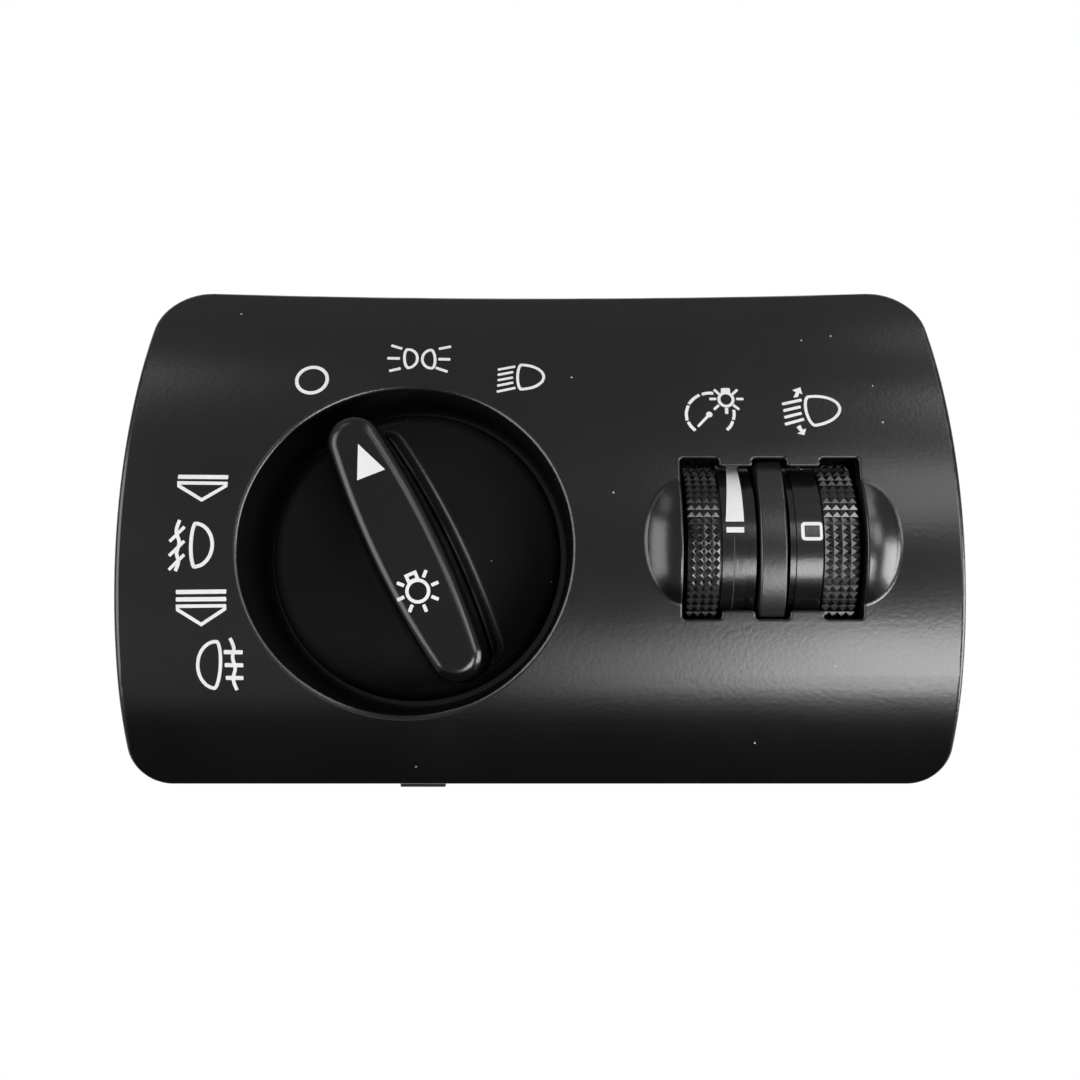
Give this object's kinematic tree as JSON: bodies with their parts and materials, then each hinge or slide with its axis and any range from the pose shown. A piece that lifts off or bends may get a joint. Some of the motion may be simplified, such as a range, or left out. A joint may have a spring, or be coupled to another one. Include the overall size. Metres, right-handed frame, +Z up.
{
  "type": "headlight switch",
  "caption": "Dashboard headlight switch: curved panel with a pull-and-turn rotary knob in a round bowl, and knurled thumbwheels for dash lighting and beam height.",
  "frame": {"origin": "middle of the plane of the panel's rear rim, which rests on the dashboard", "axes": "+X to the right as the driver sees it, +Z up, +Y into the dashboard; the panel faces -Y"},
  "size_m": [0.1258, 0.0776, 0.0793],
  "materials": {
    "panel_black": "satin soft-touch paint",
    "dial_black": "fine matte",
    "grip_black": "satin",
    "wheel_black": "semi-gloss",
    "housing_black": "moulded matte",
    "cover_grey": "moulded matte",
    "nylon_natural": "natural nylon",
    "board_green": "solder mask",
    "track_brown": "printed resistor board",
    "contact_brass": "tinned",
    "screw_steel": "zinc plated",
    "spring_steel": "bright"
  },
  "bodies": {
    "housing": {"face_panel": "panel_black", "switch_housing": "housing_black", "rear_cover": "cover_grey", "circuit_board": "board_green", "connector_blades": "contact_brass", "panel_screws": "screw_steel", "cover_screws": "screw_steel", "side_springs": "spring_steel", "detent_roller": "screw_steel", "detent_leaf": "spring_steel", "contact_base": "track_brown", "contact_tracks": "contact_brass", "pull_track": "track_brown", "dimmer_track": "track_brown", "levelling_track": "track_brown", "wheel_bridge": "wheel_black", "wheel_carrier": "housing_black", "wheel_axle": "screw_steel"},
    "rotor": {"detent_rotor": "nylon_natural", "rotor_contacts": "contact_brass"},
    "knob": {"knob_dial": "dial_black", "knob_grip": "grip_black", "knob_spindle": "nylon_natural", "spindle_clip": "spring_steel"},
    "slider": {"pull_slider": "nylon_natural", "slider_contacts": "contact_brass"},
    "dimmer": {"dimmer_wheel": "wheel_black", "dimmer_wiper": "contact_brass"},
    "levelling": {"levelling_wheel": "wheel_black", "levelling_wiper": "contact_brass"}
  },
  "joints": [
    {"name": "knob_turn", "type": "hinge", "parent": "housing", "child": "rotor", "pos_m": [-0.02, 0, -0.00355], "axis": [0, 1, 0], "range_deg": [0, 58]},
    {"name": "knob_pull", "type": "slide", "parent": "rotor", "child": "knob", "axis": [0, -1, 0], "range_m": [0, 0.007]},
    {"name": "slider_follow", "type": "slide", "parent": "housing", "child": "slider", "axis": [0, -1, 0], "range_m": [0, 0.007]},
    {"name": "dimmer_turn", "type": "hinge", "parent": "housing", "child": "dimmer", "pos_m": [0.0343, -0.0141, -0.00305], "axis": [1, 0, 0], "range_deg": [0, 100]},
    {"name": "levelling_turn", "type": "hinge", "parent": "housing", "child": "levelling", "pos_m": [0.0343, -0.0141, -0.00305], "axis": [1, 0, 0], "range_deg": [0, 165]}
  ],
  "couplings": [
    {"joint": "slider_follow", "follows": "knob_pull", "ratio": 1}
  ]
}
